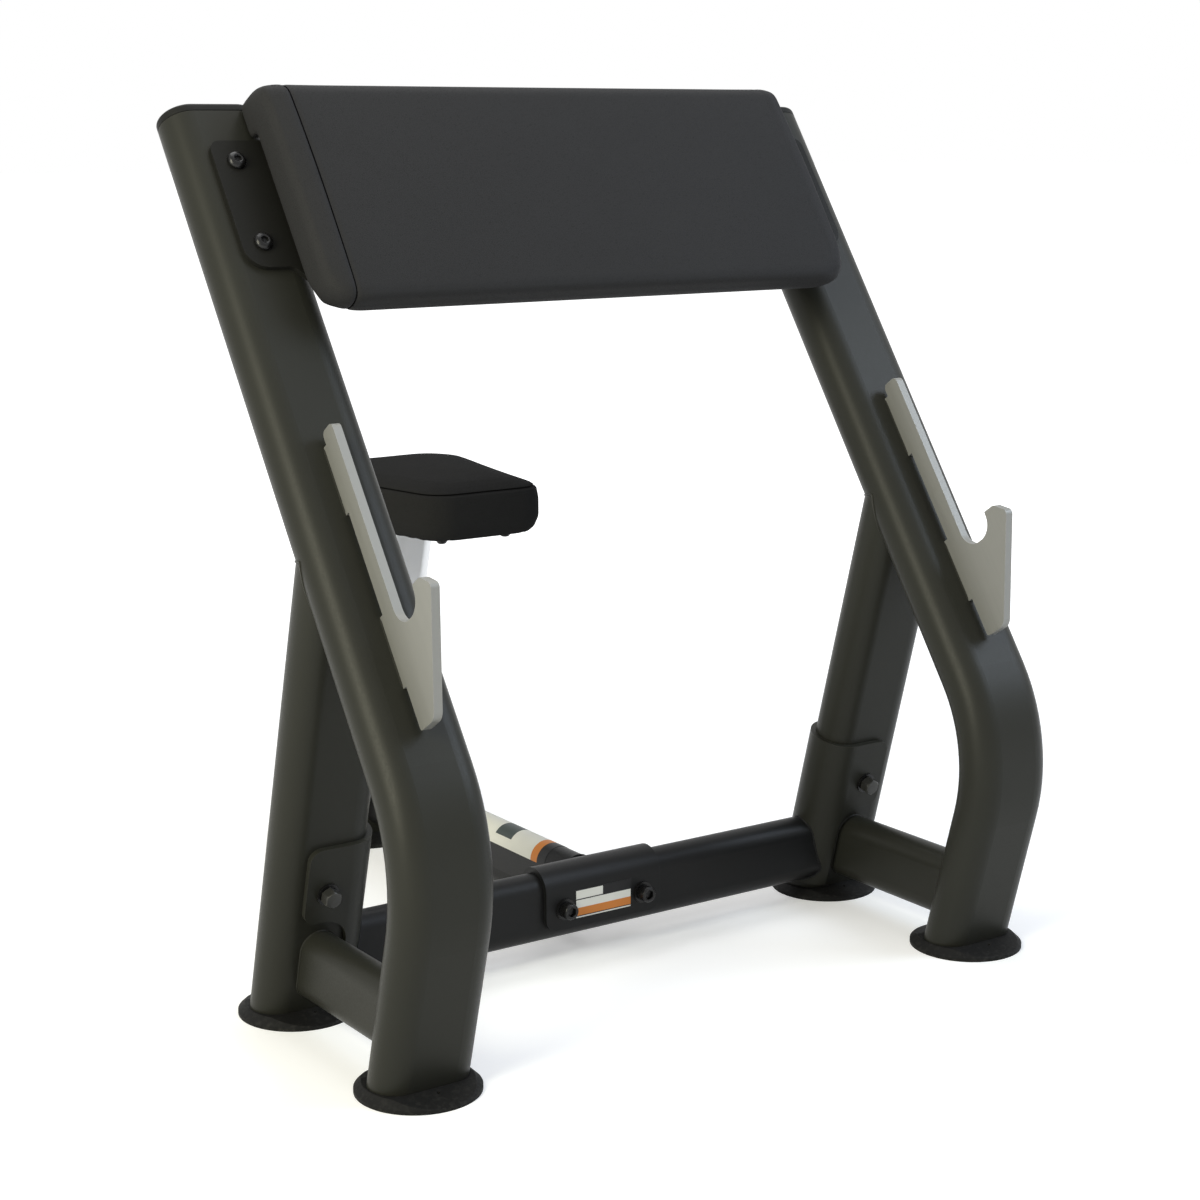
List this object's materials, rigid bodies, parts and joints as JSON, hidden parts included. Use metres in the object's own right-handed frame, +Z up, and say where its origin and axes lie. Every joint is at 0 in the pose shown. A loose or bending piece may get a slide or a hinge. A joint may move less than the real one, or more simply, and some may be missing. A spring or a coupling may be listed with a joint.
{
  "type": "preacher curl bench",
  "caption": "Preacher curl bench with bent oval uprights, a sloping arm pad, bar hooks and a pin-adjusted sliding seat on a low beam.",
  "frame": {"origin": "on the floor, under the middle of the bench's bounding box", "axes": "+X to the bench's right seen from the bar side, +Y from the bar side back to the seat, +Z up"},
  "size_m": [0.846, 0.8894, 0.9569],
  "materials": {
    "frame_paint": "satin graphite powder coat",
    "beam_paint": "satin black powder coat",
    "black_steel": "black oxide",
    "hook_steel": "brushed stainless",
    "stem_chrome": "polished chrome",
    "bright_steel": "ground steel",
    "black_rubber": "matt moulded rubber",
    "black_plastic": "matt moulded plastic",
    "pad_vinyl": "charcoal vinyl",
    "seat_vinyl": "black vinyl",
    "plywood": "black-stained plywood"
  },
  "bodies": {
    "frame": {"left_upright": "frame_paint", "right_upright": "frame_paint", "left_top_cap": "black_plastic", "right_top_cap": "black_plastic", "left_rear_leg": "frame_paint", "right_rear_leg": "frame_paint", "left_side_beam": "frame_paint", "right_side_beam": "frame_paint", "left_leg_saddle": "frame_paint", "right_leg_saddle": "frame_paint", "front_left_foot": "black_rubber", "front_right_foot": "black_rubber", "rear_left_foot": "black_rubber", "rear_right_foot": "black_rubber", "column_foot": "black_rubber", "crossbar": "beam_paint", "centre_saddle": "beam_paint", "seat_beam": "beam_paint", "seat_column": "frame_paint", "column_bush": "black_plastic", "stem_bumper": "black_rubber", "leg_bolts": "black_steel", "leg_washers": "black_steel", "leg_nuts": "black_steel", "saddle_bolts": "black_steel", "saddle_washers": "black_steel", "saddle_nuts": "black_steel", "left_pad_bracket": "beam_paint", "right_pad_bracket": "beam_paint", "bracket_bolts": "black_steel", "arm_pad_screws": "black_steel", "arm_pad_board": "plywood", "arm_pad_cushion": "pad_vinyl", "left_bar_hook": "hook_steel", "right_bar_hook": "hook_steel", "plunger_housing": "black_steel"},
    "seat": {"seat_stem": "stem_chrome", "stem_guide": "black_plastic", "seat_plate": "black_steel", "seat_bolts": "black_steel", "seat_base_studs": "black_steel", "seat_board": "plywood", "seat_cushion": "seat_vinyl"},
    "plunger": {"plunger_pin": "bright_steel", "pull_knob": "black_plastic"}
  },
  "joints": [
    {"name": "seat_slide", "type": "slide", "parent": "frame", "child": "seat", "axis": [0, -0.2588, 0.9659], "range_m": [0, 0.15]},
    {"name": "plunger_pull", "type": "slide", "parent": "frame", "child": "plunger", "axis": [0, 0.9659, 0.2588], "range_m": [-0.012, 0]}
  ]
}
